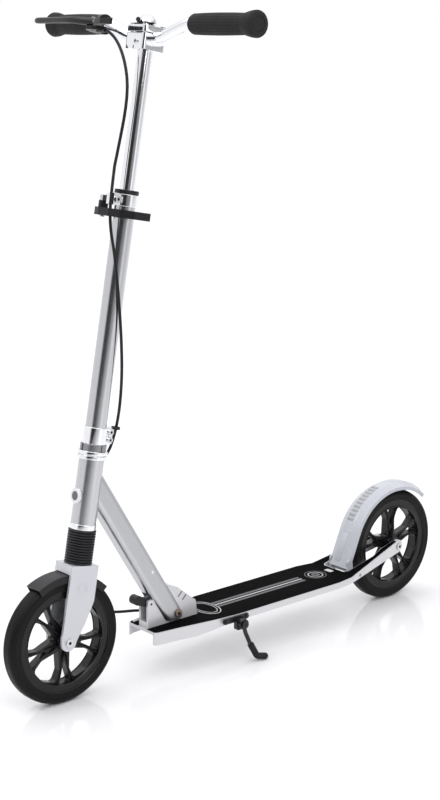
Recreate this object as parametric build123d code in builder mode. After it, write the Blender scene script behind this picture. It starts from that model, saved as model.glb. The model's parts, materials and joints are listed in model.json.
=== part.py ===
from build123d import *

import os
from math import cos, radians, sin, tan

# Folding kick scooter with large wheels, a sprung fork and a hand brake. Sizes are in millimetres.
# +X is forward, +Y is the rider's left and +Z is up. The origin is on the ground, midway between the axles.
os.makedirs("parts", exist_ok=True)

# ---------------------------------------------------------------- driving dimensions
wheelbase = 740
wheel_radius = 102.5
tyre_width = 28
tyre_depth = 18.5
tread_round = 9.5
rim_width = 24
rim_lip = 12.5
spoke_width = 14
spoke_pairs = 5
hub_radius = 15.5
hub_width = 30
bearing_radius = 11
bearing_width = 7
axle_radius = 4
axle_head_radius = 6.5
axle_head_height = 2.8

lean_angle = 10.5            # steering axis, from the vertical
axle_lead = 13.2             # front axle, ahead of the steering axis
fork_width = 43
fork_blade = 4.5
fork_front = 26.5            # the crown's front and rear faces, from the steering axis
fork_rear = 25
fork_end_radius = 14
crown_height = 14.5
guard_gap = 3
guard_thickness = 2
boot_length = 54.5
boot_radius = 22.3
boot_ribs = 13
suspension_travel = 14
post_length = 88
steerer_wall = 3
head_tube_radius = 20
head_tube_wall = 2
head_tube_length = 103
cup_height = 8.5
cup_radius = 21
cone_radius = 23.5
locknut_radius = 20.5
stem_clamp_height = 26.5
stem_clamp_wall = 2.5
outer_tube_radius = 16.5
outer_tube_wall = 2.3
outer_tube_length = 378
inner_tube_radius = 12
inner_tube_wall = 2
inner_tube_bottom = 565
collar_wall = 2.3
clamp_screw_reach = 24.5     # the tube clamps' screws, from the steering axis
clamp_screw_radius = 2.5
collar_height = 18.5

bar_height = 1056            # grips, along the steering axis from the ground
bar_rise = 22
bar_half_width = 244
bar_radius = 11.1
bar_wall = 2
bar_middle = 36              # half length of the bar's low middle run
bar_bend = 98                # where the grips' straight runs begin
left_grip_length = 138
right_grip_length = 126
grip_radius = 15.8
grip_flange_radius = 19.4
bar_clamp_half = 23
bar_clamp_depth = 44
bar_screw_radius = 2.5

deck_top = 81.3
deck_plate = 4
skirt_wall = 4
deck_front = 211
deck_front_half_width = 37
deck_half_width = 57.8
deck_wide_start = 50         # the deck is at its full width from here back to deck_narrow_start
deck_narrow_start = -190
deck_taper = 0.163           # how fast the half width falls towards the rear axle
deck_bend = -225             # the plate turns up towards the rear axle here
arm_end_radius = 11.5
arm_inner = 20.5             # the arms' inner faces, beside the rear hub
wheel_slot_front = -232
wheel_slot_half_width = 29
front_skirt_depth = 21
skirt_depth = 10.8
tape_thickness = 1
tape_margin = 2

grommet_x = 152
grommet_y = -21.5
grommet_length = 38

pivot_x = 147.5
pivot_z = 96
pivot_radius = 4
tube_lean = 31.2             # down tube, from the vertical
tube_offset = 6.9            # the down tube's centre line, ahead of the fold pivot
tube_depth = 37
tube_width = 34
tube_corner = 10
tube_wall = 3
bracket_width = 24
bracket_wall = 4.5
slot_reach = 70              # the down tube is slotted to this distance from the fold pivot
bracket_screw_places = (114, 130, 168, 190)
bracket_screw_radius = 2.5
release_x = 199
release_z = 122
lever_pin_radius = 2

fender_radius = 119
fender_wall = 2.5
fender_half_width = 23.5
fender_start = 23            # degrees above the horizontal; the straight front wall begins here
fender_end = 130
fender_base = 88
fender_pin_x = -249
fender_pin_z = 79
fender_pin_radius = 3

kick_x = 51
kick_z = 68
kick_leg_radius = 4.5
kick_sleeve_radius = 5.5
kick_hub_start = 66.3
kick_hub_width = 7.4

cable_radius = 2.4
wire_radius = 0.8

running = 0.05               # radial clearance of a shaft that turns or slides
seat = 0.1                   # clearance between pieces that are bolted or pushed together
gap = 0.3                    # clearance between pieces that move past each other

# ---------------------------------------------------------------- places worked out from them
lean = radians(lean_angle)
axle_height = (wheel_radius - axle_lead * sin(lean)) / cos(lean)
steering_foot = wheelbase / 2 - axle_lead * cos(lean) + axle_height * sin(lean)
steering_up = (-sin(lean), 0, cos(lean))
steering_ahead = (cos(lean), 0, sin(lean))
steering = Plane(origin=(steering_foot, 0, 0), x_dir=steering_ahead, z_dir=steering_up)
steering_side = Plane(origin=(steering_foot, 0, 0), x_dir=steering_ahead, z_dir=(0, -1, 0))
steering_face = Plane(origin=(steering_foot, 0, 0), x_dir=(0, 1, 0), z_dir=steering_ahead)
steering_axis = Axis((steering_foot, 0, 0), steering_up)

guard_outer = wheel_radius + guard_gap + guard_thickness
crown_bottom = axle_height + guard_outer + seat
crown_top = crown_bottom + crown_height
boot_bottom = crown_top + seat
boot_top = boot_bottom + boot_length
cup_bottom = boot_top + gap
head_bottom = cup_bottom + cup_height
head_top = head_bottom + head_tube_length
upper_cup_top = head_top + 6
cone_top = upper_cup_top + gap + 6.4
clamp_bottom = cone_top + 10.5
clamp_top = clamp_bottom + stem_clamp_height
outer_tube_bottom = clamp_bottom + 2.5
outer_tube_top = outer_tube_bottom + outer_tube_length
outer_bore = outer_tube_radius - outer_tube_wall
steerer_radius = outer_bore - 2 * seat
post_radius = steerer_radius - steerer_wall
stem_clamp_radius = outer_tube_radius + stem_clamp_wall
collar_radius = outer_tube_radius + collar_wall
collar_top = outer_tube_top + 5.5
collar_bottom = collar_top - collar_height
collar_middle = (collar_top + collar_bottom) / 2
steerer_bottom = crown_top + suspension_travel + 7
steerer_top = clamp_top + 12
post_top = crown_top + post_length - 8
elastomer_top = post_top + gap + 25
middle_height = bar_height - bar_rise
clamp_block_bottom = middle_height - 18
clamp_block_top = middle_height + 6.2
clamp_cap_bottom = middle_height + 7.8
clamp_cap_top = middle_height + 18
badge_height = head_bottom + 43.7
fork_half = fork_width / 2
fork_inner = fork_half - fork_blade
bearing_bore = axle_radius + running
tube_angle = radians(tube_lean)
tube_up = (sin(tube_angle), 0, cos(tube_angle))
tube_ahead = (cos(tube_angle), 0, -sin(tube_angle))
tube_foot = (pivot_x + tube_offset * cos(tube_angle), 0, pivot_z - tube_offset * sin(tube_angle))
down_tube_plane = Plane(origin=tube_foot, x_dir=tube_ahead, z_dir=tube_up)
down_tube_side = Plane(origin=tube_foot, x_dir=tube_ahead, z_dir=(0, -1, 0))
tube_length = ((steering_foot - tube_foot[0]) * cos(lean) - tube_foot[2] * sin(lean)) / sin(tube_angle + lean)
rear_arm_outer = deck_half_width - deck_taper * (deck_narrow_start + wheelbase / 2)
arm_rise = (wheel_radius + arm_end_radius - deck_top) / (wheelbase / 2 + deck_bend)


def finish(piece, label):
    piece.part.label = label
    export_step(piece.part, f"parts/{label}.step")


def disc(outer, inner):
    """A circle, with a hole where there is one, in the sketch that is open."""
    Circle(outer)
    if inner:
        Circle(inner, mode=Mode.SUBTRACT)


def ring(bottom, top, outer, inner=0.0):
    """A ring or bar about the steering axis, between two heights along it."""
    with BuildPart() as piece:
        with BuildSketch(steering.offset(bottom)):
            disc(outer, inner)
        extrude(amount=top - bottom)
    return piece


def axle_plane(axle_x, y):
    """A plane across Y at a wheel's axle, facing the rider's right."""
    return Plane(origin=(axle_x, y, wheel_radius), x_dir=(1, 0, 0), z_dir=(0, -1, 0))


# ---------------------------------------------------------------- wheels
rim_radius = wheel_radius - tyre_depth
opening_radius = rim_radius - rim_lip

with BuildSketch() as petal:
    Polygon((hub_radius + 5, -1.5), (0.62 * opening_radius, -0.29 * opening_radius),
            (0.9 * opening_radius, -0.34 * opening_radius), (opening_radius, 0),
            (0.9 * opening_radius, 0.34 * opening_radius), (0.62 * opening_radius, 0.29 * opening_radius),
            (hub_radius + 5, 1.5), align=None)
    fillet(petal.vertices().group_by(Axis.X)[0], radius=1.2)
    fillet(petal.vertices().group_by(Axis.X)[1:], radius=7)

with BuildSketch() as wedge:
    Polygon((0.42 * opening_radius, 0), (0.98 * opening_radius, -0.145 * opening_radius),
            (0.98 * opening_radius, 0.145 * opening_radius), align=None)
    fillet(wedge.vertices(), radius=1.5)


def wheel(side, axle_x, turn):
    """A tyre, a rim with spokes in pairs, and two bearings."""
    face = axle_plane(axle_x, 0)
    section = Plane(origin=(axle_x, 0, wheel_radius), x_dir=(0, 1, 0), z_dir=(1, 0, 0))
    axle_line = Axis((axle_x, 0, wheel_radius), (0, 1, 0))
    bearing_faces = face.offset(hub_width / 2 - bearing_width), face.offset(-hub_width / 2)

    with BuildPart() as tyre:
        with BuildSketch(section) as outline:
            with Locations((0, rim_radius)):
                Rectangle(tyre_width, tyre_depth, align=(Align.CENTER, Align.MIN))
            fillet(outline.vertices().group_by(Axis.Y)[-1], radius=tread_round)
        revolve(axis=axle_line)
    finish(tyre, f"{side}_tyre")

    with BuildPart() as rim:
        with BuildSketch(face):
            disc(rim_radius, opening_radius)
        extrude(amount=rim_width / 2, both=True)
        with BuildSketch(face):
            Circle(opening_radius + 1)
            with PolarLocations(0, spoke_pairs, start_angle=turn):
                add(petal.sketch, mode=Mode.SUBTRACT)
            with PolarLocations(0, spoke_pairs, start_angle=turn + 180 / spoke_pairs):
                add(wedge.sketch, mode=Mode.SUBTRACT)
        extrude(amount=spoke_width / 2, both=True)
        with BuildSketch(face):
            Circle(hub_radius)
        extrude(amount=hub_width / 2, both=True)
        with BuildSketch(face):
            Circle(bearing_bore + 3)
        extrude(amount=hub_width, both=True, mode=Mode.SUBTRACT)
        with BuildSketch(*bearing_faces):
            Circle(bearing_radius)
        extrude(amount=bearing_width, mode=Mode.SUBTRACT)
    finish(rim, f"{side}_rim")

    with BuildPart() as bearings:
        with BuildSketch(*bearing_faces):
            disc(bearing_radius, bearing_bore)
        extrude(amount=bearing_width)
    finish(bearings, f"{side}_bearings")


def axle(side, axle_x, frame_inner, frame_outer):
    """A bolt with a round head at each end, and a spacer beside each bearing."""
    spacer = frame_inner - hub_width / 2 - gap
    with BuildPart() as bolt:
        with BuildSketch(axle_plane(axle_x, 0)):
            Circle(axle_radius)
        extrude(amount=frame_outer + seat, both=True)
        head_seat = frame_outer + seat
        with BuildSketch(axle_plane(axle_x, head_seat + axle_head_height), axle_plane(axle_x, -head_seat)):
            Circle(axle_head_radius)
        extrude(amount=axle_head_height)
        with BuildSketch(axle_plane(axle_x, frame_inner - seat), axle_plane(axle_x, seat - frame_inner + spacer)):
            disc(axle_radius + 3, axle_radius + running)
        extrude(amount=spacer)
    finish(bolt, f"{side}_axle")


wheel("front", wheelbase / 2, 18)
wheel("rear", -wheelbase / 2, 54)
axle("front", wheelbase / 2, fork_inner, fork_half)

# ---------------------------------------------------------------- deck
with BuildSketch() as plan:
    with BuildLine():
        corner = Line((deck_front, 0), (deck_front, deck_front_half_width - 4))
        chamfered = Line(corner @ 1, (deck_front - 7, deck_front_half_width))
        flare = Polyline(chamfered @ 1, (160, 42.5), (100, 52.5), (deck_wide_start, deck_half_width))
        side = Line(flare @ 1, (deck_narrow_start, deck_half_width))
        tail_x = -wheelbase / 2 - arm_end_radius - 1
        taper = Line(side @ 1, (tail_x, deck_half_width - deck_taper * (deck_narrow_start - tail_x)))
        Polyline(taper @ 1, (tail_x, 0), corner @ 0)
    make_face()
    mirror(about=Plane.XZ)
    with BuildSketch(mode=Mode.SUBTRACT) as slot:
        Polygon((wheel_slot_front, -wheel_slot_half_width), (wheel_slot_front, wheel_slot_half_width),
                (wheel_slot_front - 68, wheel_slot_half_width), (wheel_slot_front - 100, arm_inner),
                (tail_x - 1, arm_inner), (tail_x - 1, -arm_inner), (wheel_slot_front - 100, -arm_inner),
                (wheel_slot_front - 68, -wheel_slot_half_width), align=None)
        fillet(slot.vertices().group_by(Axis.X)[-1], radius=8)


def along_deck(x, above=0.0):
    """A point of the deck's bent top line, or above it, in the side plane."""
    return (x, deck_top + above + max(0, deck_bend - x) * arm_rise)


with BuildPart() as hollow:
    with BuildSketch(Plane.XZ):
        Polygon((deck_front + 1, 0), (deck_front + 1, deck_top - deck_plate),
                (wheel_slot_front + 10, deck_top - deck_plate), (wheel_slot_front + 10, 0), align=None)
    extrude(amount=deck_half_width, both=True)
    with BuildSketch(Plane.XY):
        add(plan.sketch)
        offset(amount=-skirt_wall)
        with Locations((deck_front, 0)):
            Rectangle(4 * skirt_wall, 2 * (deck_front_half_width - skirt_wall) - 5)
    extrude(amount=2 * deck_top, mode=Mode.INTERSECT)

with BuildPart() as deck:
    with BuildSketch(Plane.XZ):
        with BuildLine():
            Polyline((deck_front, deck_top), along_deck(deck_bend), along_deck(-wheelbase / 2),
                     (-wheelbase / 2, wheel_radius - arm_end_radius), (deck_bend, deck_top - skirt_depth),
                     (deck_wide_start + 10, deck_top - skirt_depth),
                     (deck_front - 80, deck_top - front_skirt_depth),
                     (deck_front, deck_top - front_skirt_depth), close=True)
        make_face()
        with Locations((-wheelbase / 2, wheel_radius)):
            Circle(arm_end_radius)
    extrude(amount=deck_half_width, both=True)
    with BuildSketch(Plane.XY):
        add(plan.sketch)
    extrude(amount=2 * deck_top, mode=Mode.INTERSECT)
    add(hollow.part, mode=Mode.SUBTRACT)
    with BuildSketch(Plane.XZ):
        with Locations((-wheelbase / 2, wheel_radius)):
            Circle(axle_radius + seat)
        with Locations((fender_pin_x, fender_pin_z)):
            Circle(fender_pin_radius + seat)
    extrude(amount=deck_half_width, both=True, mode=Mode.SUBTRACT)
    with BuildSketch(Plane.XZ.offset(rear_arm_outer), Plane.XZ.offset(-rear_arm_outer - 10)):
        with Locations((-wheelbase / 2, wheel_radius)):
            Circle(axle_head_radius + 1.5)
    extrude(amount=10, mode=Mode.SUBTRACT)
    with BuildSketch(Plane.XY.offset(deck_top)):
        with Locations((grommet_x, grommet_y)):
            SlotOverall(grommet_length, 2 * cable_radius + 3)
        with Locations(*((x, 0) for x in bracket_screw_places)):
            Circle(bracket_screw_radius + seat)
    extrude(amount=-2 * deck_plate, mode=Mode.SUBTRACT)
finish(deck, "deck")

with BuildPart() as griptape:
    with BuildSketch(Plane.XZ):
        Polygon((deck_front - tape_margin, deck_top), (deck_front - tape_margin, deck_top + tape_thickness),
                along_deck(deck_bend, tape_thickness), along_deck(7 - wheelbase / 2, tape_thickness),
                along_deck(7 - wheelbase / 2), along_deck(deck_bend), align=None)
    extrude(amount=deck_half_width, both=True)
    with BuildSketch(Plane.XY):
        add(plan.sketch)
        offset(amount=-tape_margin)
        with Locations((101.4, 0)):
            Rectangle(deck_front, bracket_width + 1.2, align=(Align.MIN, Align.CENTER), mode=Mode.SUBTRACT)
        with Locations((grommet_x, grommet_y)):
            SlotOverall(grommet_length + 8, 2 * cable_radius + 11, mode=Mode.SUBTRACT)
    extrude(amount=2 * deck_top, mode=Mode.INTERSECT)
finish(griptape, "griptape")

with BuildPart() as grommet:
    with BuildSketch(Plane.XY.offset(deck_top)):
        with Locations((grommet_x, grommet_y)):
            SlotOverall(grommet_length + 5, 2 * cable_radius + 8)
    extrude(amount=1.2)
    with BuildSketch(Plane.XY.offset(deck_top)):
        with Locations((grommet_x, grommet_y)):
            SlotOverall(grommet_length - 2 * seat, 2 * cable_radius + 3 - 2 * seat)
    extrude(amount=-deck_plate)
    with BuildSketch(Plane.XY.offset(deck_top + 2)):
        with Locations((grommet_x, grommet_y)):
            SlotOverall(grommet_length - 2, 2 * cable_radius + 1)
    extrude(amount=-2 * deck_plate, mode=Mode.SUBTRACT)
finish(grommet, "cable_grommet")

# ---------------------------------------------------------------- fold joint
pocket_floor = deck_top + 10
with BuildPart() as bracket:
    with BuildSketch(Plane.XZ) as side_view:
        Polygon((206, deck_top), (206, 129.4), (191, 128), (166, 149), (143, 138.6), (117.4, 117), (105.5, 108),
                (102, deck_top), align=None)
        fillet(side_view.vertices().sort_by(Axis.Y)[2:], radius=4)
    extrude(amount=bracket_width / 2, both=True)
    with BuildSketch(Plane.XZ):
        with Locations((160, pocket_floor)):
            Rectangle(60, 70, align=(Align.MIN, Align.MIN))
    extrude(amount=bracket_width / 2 - bracket_wall, both=True, mode=Mode.SUBTRACT)
    with BuildSketch(Plane.XZ):
        with Locations((pivot_x, pivot_z)):
            Circle(pivot_radius + seat)
        with Locations((release_x, release_z)):
            Circle(lever_pin_radius + running)
        with Locations((139, 125.5), (130, 118)):
            SlotOverall(12, 3, rotation=-45)
    extrude(amount=bracket_width, both=True, mode=Mode.SUBTRACT)
    with BuildSketch(Plane.XY.offset(deck_top)):
        with Locations(*((x, 0) for x in bracket_screw_places)):
            Circle(bracket_screw_radius + seat)
    extrude(amount=9, mode=Mode.SUBTRACT)
    with BuildSketch(Plane.YZ.offset(200)):
        with Locations((-(bracket_width - bracket_wall) / 2, pocket_floor + 1.5)):
            Circle(1.75)
    extrude(amount=20)
finish(bracket, "folding_bracket")

with BuildPart() as bracket_screws:
    with BuildSketch(Plane.XY.offset(deck_top - deck_plate - seat)):
        with Locations(*((x, 0) for x in bracket_screw_places)):
            Circle(bracket_screw_radius)
    extrude(amount=deck_plate + 8)
    with BuildSketch(Plane.XY.offset(deck_top - deck_plate - seat)):
        with Locations(*((x, 0) for x in bracket_screw_places)):
            Circle(2 * bracket_screw_radius)
    extrude(amount=-2.5)
finish(bracket_screws, "bracket_screws")

tube_half = tube_width / 2
with BuildPart() as pivot_bolt:
    with BuildSketch(Plane.XZ.offset(-tube_half - gap)):
        with Locations((pivot_x, pivot_z)):
            Circle(pivot_radius)
    extrude(amount=2 * (tube_half + gap) + 6)
    with BuildSketch(Plane.XZ.offset(-tube_half - gap)):
        with Locations((pivot_x, pivot_z)):
            Circle(axle_head_radius)
    extrude(amount=-axle_head_height)
    with BuildSketch(Plane.XZ.offset(tube_half + gap)):
        with Locations((pivot_x, pivot_z)):
            RegularPolygon(7, 6)
            Circle(pivot_radius + seat, mode=Mode.SUBTRACT)
    extrude(amount=5)
finish(pivot_bolt, "pivot_bolt")

with BuildPart() as release_lever:
    with BuildSketch(Plane.XZ):
        with Locations((release_x, release_z)):
            Circle(5.5)
        with Locations((222, 132)):
            Circle(8)
        make_hull()
    extrude(amount=bracket_width / 2 - bracket_wall - gap, both=True)
    with BuildSketch(Plane.XZ):
        with Locations((release_x, release_z)):
            Circle(5.5)
        with Locations((173, 113)):
            Circle(3.5)
        make_hull()
    extrude(amount=bracket_width / 2 - bracket_wall - gap, both=True)
    with BuildSketch(Plane.XZ):
        with Locations((release_x, release_z)):
            Circle(lever_pin_radius)
    extrude(amount=bracket_width / 2, both=True)
finish(release_lever, "release_lever")

# the down tube: a clevis over the bracket at its foot, hollow above
pivot_end = tube_depth / 2 - tube_offset
toe = radians(tube_lean - 78)
with BuildPart() as down_tube:
    with BuildSketch(down_tube_plane.offset(-2 * pivot_end)):
        RectangleRounded(tube_depth, tube_width, tube_corner)
    extrude(amount=tube_length + 2 * pivot_end + tube_depth)
    with BuildSketch(down_tube_side):
        Polygon((-tube_depth / 2, 0), (pivot_end * cos(toe) - tube_offset, pivot_end * sin(toe)),
                (tube_depth / 2, 6), (tube_depth / 2, tube_length + tube_depth),
                (-tube_depth / 2, tube_length + tube_depth), align=None)
        with Locations((-tube_offset, 0)):
            Circle(pivot_end)
    extrude(amount=tube_width, both=True, mode=Mode.INTERSECT)
    with BuildSketch(down_tube_plane.offset(slot_reach + 14)):
        RectangleRounded(tube_depth - 2 * tube_wall, tube_width - 2 * tube_wall, tube_corner - tube_wall)
    extrude(amount=tube_length, mode=Mode.SUBTRACT)
    with BuildSketch(Plane.XZ):
        with Locations((pivot_x, pivot_z)):
            Circle(slot_reach)
    extrude(amount=bracket_width / 2 + gap, both=True, mode=Mode.SUBTRACT)
    with BuildSketch(Plane.XZ):
        with Locations((pivot_x, pivot_z)):
            Circle(pivot_radius + running)
    extrude(amount=tube_width, both=True, mode=Mode.SUBTRACT)
    with BuildSketch(steering):
        Circle(head_tube_radius + seat)
        with Locations((head_tube_radius + 20, 0)):
            Rectangle(2 * head_tube_radius + 40, 3 * head_tube_radius)
    extrude(amount=2 * head_top, mode=Mode.SUBTRACT)
finish(down_tube, "down_tube")

# ---------------------------------------------------------------- head tube and headset
head_bore = head_tube_radius - head_tube_wall
head_tube = ring(head_bottom, head_top, head_tube_radius, head_bore)
finish(head_tube, "head_tube")

with BuildPart() as cups:
    with BuildSketch(steering.offset(cup_bottom)):
        disc(cup_radius, steerer_radius + running)
    extrude(amount=cup_height)
    with BuildSketch(steering.offset(head_bottom)):
        disc(head_bore - seat, steerer_radius + running)
    extrude(amount=8)
    with BuildSketch(steering.offset(head_top)):
        disc(cone_radius, steerer_radius + running)
    extrude(amount=upper_cup_top - head_top)
    with BuildSketch(steering.offset(head_top)):
        disc(head_bore - seat, steerer_radius + running)
    extrude(amount=-8)
finish(cups, "headset_cups")

with BuildPart() as badge:
    with BuildSketch(steering_face.offset(head_tube_radius - 1)):
        with Locations((0, badge_height)):
            Circle(12)
    extrude(amount=4)
    with BuildSketch(steering.offset(head_bottom)):
        Circle(head_tube_radius + seat)
    extrude(amount=head_tube_length, mode=Mode.SUBTRACT)
finish(badge, "head_badge")

with BuildPart() as steerer:
    with BuildSketch(steering.offset(steerer_bottom)):
        Circle(steerer_radius)
    extrude(amount=steerer_top - steerer_bottom)
    with BuildSketch(steering.offset(boot_top - 6)):
        Circle(boot_radius - 5)
    extrude(amount=6)
    with BuildSketch(steering.offset(steerer_bottom)):
        Circle(post_radius + running)
    extrude(amount=elastomer_top + seat - steerer_bottom, mode=Mode.SUBTRACT)
    with BuildSketch(steering.offset(steerer_bottom)):
        Circle(8)
    extrude(amount=2 * steerer_top, mode=Mode.SUBTRACT)
finish(steerer, "steerer_tube")

finish(ring(upper_cup_top + gap, cone_top, cone_radius, steerer_radius + seat), "headset_cone")

with BuildPart() as locknut:
    with BuildSketch(steering.offset(cone_top + seat)):
        disc(locknut_radius, steerer_radius + seat)
        with PolarLocations(locknut_radius, 8):
            Rectangle(3, 4, mode=Mode.SUBTRACT)
    extrude(amount=clamp_bottom - cone_top - 2 * seat)
finish(locknut, "headset_locknut")

finish(ring(post_top + seat, elastomer_top, post_radius - seat, 4), "fork_elastomer")

rib = boot_length / boot_ribs
with BuildPart() as boot:
    with BuildSketch(steering_side):
        with BuildLine():
            outer_line = []
            for index in range(boot_ribs):
                outer_line += [(boot_radius - 2, boot_bottom + index * rib),
                               (boot_radius, boot_bottom + (index + 0.5) * rib)]
            outer_line += [(boot_radius - 2, boot_top)]
            Polyline(*outer_line, (boot_radius - 3.6, boot_top), (boot_radius - 3.6, boot_bottom), close=True)
        make_face()
    revolve(axis=steering_axis)
finish(boot, "fork_boot")

# ---------------------------------------------------------------- fork
with BuildPart() as fork:
    with BuildSketch(steering_side) as fork_view:
        Polygon((fork_front, crown_top), (27.2, axle_height), (axle_lead - fork_end_radius, axle_height),
                (-5, 113), (-12.4, 129), (-21.7, 156), (-fork_rear, 168), (-fork_rear, crown_top), align=None)
        with Locations((axle_lead, axle_height)):
            Circle(fork_end_radius)
    extrude(amount=fork_half, both=True)
    with BuildSketch(steering_side):
        with Locations((0, crown_bottom)):
            Rectangle(200, 300, align=(Align.CENTER, Align.MAX))
    extrude(amount=fork_inner, both=True, mode=Mode.SUBTRACT)
    with BuildSketch(steering.offset(crown_bottom + 3)):
        Circle(post_radius)
    extrude(amount=post_top - crown_bottom - 3)
    with BuildSketch(axle_plane(wheelbase / 2, 0)):
        Circle(axle_radius + seat)
    extrude(amount=2 * fork_width, both=True, mode=Mode.SUBTRACT)
finish(fork, "fork")

guard_side = fork_inner - seat
guard_inner = guard_outer - guard_thickness
with BuildPart() as guard:
    section = Plane(origin=(wheelbase / 2, 0, wheel_radius), x_dir=(cos(radians(62)), 0, sin(radians(62))),
                    z_dir=(sin(radians(62)), 0, -cos(radians(62))))
    with BuildSketch(section):
        Polygon((guard_inner - 10, guard_side), (guard_outer, guard_side), (guard_outer, -guard_side),
                (guard_inner - 10, -guard_side), (guard_inner - 10, 2 - guard_side),
                (guard_inner, 2 - guard_side), (guard_inner, guard_side - 2), (guard_inner - 10, guard_side - 2),
                align=None)
    revolve(axis=Axis((wheelbase / 2, 0, wheel_radius), (0, -1, 0)), revolution_arc=75)
finish(guard, "front_mudguard")

# ---------------------------------------------------------------- stem
stem_screws = (-clamp_screw_reach, clamp_bottom + 7), (-clamp_screw_reach, clamp_top - 7)
with BuildPart() as stem_clamp:
    with BuildSketch(steering.offset(clamp_bottom)):
        Circle(stem_clamp_radius)
        with Locations((-12, 0)):
            Rectangle(18, 12, align=(Align.MAX, Align.CENTER))
        Circle(outer_tube_radius + seat, mode=Mode.SUBTRACT)
        with Locations((-12, 0)):
            Rectangle(20, 2, align=(Align.MAX, Align.CENTER), mode=Mode.SUBTRACT)
    extrude(amount=stem_clamp_height)
    with BuildSketch(steering_side):
        with Locations(*stem_screws):
            Circle(clamp_screw_radius + seat)
    extrude(amount=20, both=True, mode=Mode.SUBTRACT)
finish(stem_clamp, "stem_clamp")

with BuildPart() as stem_bolts:
    with BuildSketch(steering_side.offset(-6 - seat)):
        with Locations(*stem_screws):
            Circle(clamp_screw_radius)
    extrude(amount=13)
    with BuildSketch(steering_side.offset(-6 - seat)):
        with Locations(*stem_screws):
            Circle(4.5)
    extrude(amount=-4)
finish(stem_bolts, "stem_clamp_bolts")

outer_tube = ring(outer_tube_bottom, outer_tube_top, outer_tube_radius, outer_bore)
finish(outer_tube, "outer_tube")

with BuildPart() as collar:
    with BuildSketch(steering.offset(collar_bottom)):
        Circle(collar_radius)
        with Locations((14, 0)):
            Rectangle(16, 18, align=(Align.MIN, Align.CENTER))
        Circle(outer_tube_radius + seat, mode=Mode.SUBTRACT)
        with Locations((12, 0)):
            Rectangle(20, 3, align=(Align.MIN, Align.CENTER), mode=Mode.SUBTRACT)
    extrude(amount=collar_height)
    with BuildSketch(steering_side):
        with Locations((clamp_screw_reach, collar_middle)):
            Circle(clamp_screw_radius + seat)
    extrude(amount=20, both=True, mode=Mode.SUBTRACT)
finish(collar, "height_collar")

with BuildPart() as collar_cap:
    with BuildSketch(steering.offset(collar_top + seat)):
        disc(collar_radius, inner_tube_radius + running)
    extrude(amount=6.5)
    with BuildSketch(steering.offset(collar_top + seat)):
        disc(outer_bore - seat, inner_tube_radius + running)
    extrude(amount=-16)
finish(collar_cap, "collar_cap")

lever_hub = (clamp_screw_reach, -22)
lever_bottom = collar_middle - 27
with BuildPart() as skewer:
    with BuildSketch(steering_side.offset(-9 - seat)):
        with Locations((clamp_screw_reach, collar_middle)):
            Circle(5)
    extrude(amount=-5)
    with BuildSketch(steering_side.offset(-10)):
        with Locations((clamp_screw_reach, collar_middle)):
            Circle(clamp_screw_radius)
    extrude(amount=30)
    with BuildSketch(steering.offset(collar_middle - 4)):
        with Locations(lever_hub):
            Circle(6.5)
    extrude(amount=8)
    with BuildSketch(steering.offset(lever_bottom - gap)):
        with Locations(lever_hub):
            Circle(2)
    extrude(amount=27)
    with BuildSketch(steering.offset(lever_bottom - gap)):
        with Locations(lever_hub):
            Circle(4)
    extrude(amount=-2)
finish(skewer, "clamp_skewer")

with BuildPart() as skewer_nut:
    with BuildSketch(steering_side.offset(9 + seat)):
        with Locations((clamp_screw_reach, collar_middle)):
            disc(5.5, clamp_screw_radius + seat)
    extrude(amount=4.8)
finish(skewer_nut, "clamp_washer")

with BuildPart() as clamp_lever:
    with BuildSketch(steering.offset(lever_bottom)) as blade:
        Polygon((20, -29), (33, -27), (43, -18), (46.5, -4), (46, 20), (38, 38), (20, 52), (-7, 58), (-8, 48.5),
                (14, 43), (28, 31), (36.2, 14), (36.2, -6), (32, -14), (20, -15), align=None)
        fillet(blade.vertices(), radius=2.5)
    extrude(amount=12)
    with BuildSketch(steering.offset(lever_bottom)):
        with Locations(lever_hub):
            Circle(7.5)
    extrude(amount=23 - gap)
    with BuildSketch(steering.offset(lever_bottom)):
        with Locations(lever_hub):
            Circle(2 + running)
    extrude(amount=40, mode=Mode.SUBTRACT)
finish(clamp_lever, "clamp_lever")

with BuildPart() as inner_tube:
    with BuildSketch(steering.offset(inner_tube_bottom)):
        Circle(inner_tube_radius)
    extrude(amount=clamp_block_bottom + 5 - inner_tube_bottom)
    with BuildSketch(steering.offset(inner_tube_bottom)):
        Circle(outer_bore - running)
    extrude(amount=20)
    with BuildSketch(steering.offset(inner_tube_bottom)):
        Circle(inner_tube_radius - inner_tube_wall)
    extrude(amount=clamp_block_top, mode=Mode.SUBTRACT)
finish(inner_tube, "inner_tube")

# ---------------------------------------------------------------- handlebar
with BuildLine(steering_face) as bar_path:
    FilletPolyline((-bar_half_width, bar_height), (-bar_bend, bar_height), (-bar_middle, middle_height),
                   (bar_middle, middle_height), (bar_bend, bar_height), (bar_half_width, bar_height), radius=60)
with BuildPart() as handlebar:
    with BuildSketch(Plane(origin=bar_path.line @ 0, z_dir=bar_path.line % 0)):
        disc(bar_radius, bar_radius - bar_wall)
    sweep(path=bar_path.line)
finish(handlebar, "handlebar")

with BuildPart() as grips:
    for side_sign, length in ((1, left_grip_length), (-1, right_grip_length)):
        inboard = steering_side.offset(-side_sign * (bar_half_width - length))
        outboard = steering_side.offset(-side_sign * (bar_half_width - 4))
        with BuildSketch(inboard):
            with Locations((0, bar_height)):
                disc(grip_radius, bar_radius + seat)
        extrude(amount=-side_sign * (length + 3))
        with BuildSketch(outboard):
            with Locations((0, bar_height)):
                disc(grip_flange_radius, bar_radius + seat)
        extrude(amount=-side_sign * 4)
        with BuildSketch(steering_side.offset(-side_sign * (bar_half_width + seat))):
            with Locations((0, bar_height)):
                Circle(grip_radius)
        extrude(amount=-side_sign * 2.9)
finish(grips, "grips")

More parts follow.
